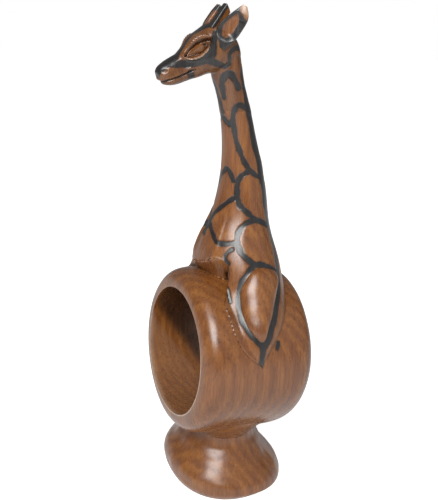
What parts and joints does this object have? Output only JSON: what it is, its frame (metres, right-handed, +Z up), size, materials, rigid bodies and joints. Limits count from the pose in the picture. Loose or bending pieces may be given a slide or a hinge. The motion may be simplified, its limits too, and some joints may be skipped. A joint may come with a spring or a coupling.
{
  "type": "carved giraffe napkin ring",
  "caption": "Carved hardwood napkin ring on a flared oval foot, with a giraffe's neck and head rising from the ring; the shoulders ride over its sides.",
  "frame": {"origin": "middle of the foot's flat underside", "axes": "+Z up; the giraffe faces -Y and its left side is +X; the napkin bore runs along Y, tilted 4.2 degrees so that its front mouth is higher"},
  "size_m": [0.0502, 0.0438, 0.1425],
  "materials": {
    "oiled_hardwood": "hand-rubbed oil, semi-gloss",
    "marked_hardwood": "hand-rubbed oil with scorched dark lines, semi-gloss",
    "scorched_hardwood": "scorched dark, satin"
  },
  "bodies": {
    "root": {"foot": "oiled_hardwood", "ring": "oiled_hardwood", "neck": "marked_hardwood", "shoulder_left": "marked_hardwood", "shoulder_right": "marked_hardwood", "head": "marked_hardwood", "lower_jaw": "marked_hardwood", "ear_left": "marked_hardwood", "ear_right": "marked_hardwood", "horn_left": "scorched_hardwood", "horn_right": "scorched_hardwood", "eye_left": "marked_hardwood", "eye_right": "marked_hardwood"}
  },
  "joints": []
}
